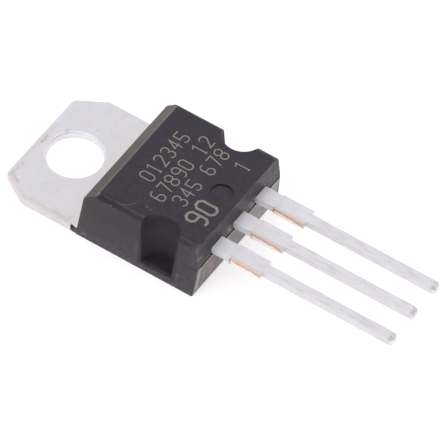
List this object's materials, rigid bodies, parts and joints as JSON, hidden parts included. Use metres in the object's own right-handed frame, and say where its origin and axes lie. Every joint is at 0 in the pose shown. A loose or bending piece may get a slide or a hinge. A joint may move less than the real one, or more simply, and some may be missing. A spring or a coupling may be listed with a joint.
{
  "type": "voltage regulator",
  "caption": "Voltage regulator in a flat plastic power package: a thin holed metal tab at one end, straight flat leads at the other, a round notch in each long side.",
  "frame": {"origin": "on the screw hole's axis, in the plane of the tab's back, which is also the moulding's underside", "axes": "+X from the tab to the lead tips, +Y across the leads from the input side to the output side, +Z from the tab's back to the moulding's top"},
  "size_m": [0.0289, 0.01, 0.0045],
  "materials": {
    "tinned_copper": "matte",
    "epoxy": "matte",
    "solder": "satin",
    "silicon": "gloss",
    "aluminium_wire": "satin"
  },
  "bodies": {
    "root": {"tab_frame": "tinned_copper", "lead_input": "tinned_copper", "lead_output": "tinned_copper", "die_attach": "solder", "die": "silicon", "bond_wire_input": "aluminium_wire", "bond_wire_output": "aluminium_wire", "bond_wire_ground": "aluminium_wire", "mould_body": "epoxy"}
  },
  "joints": []
}
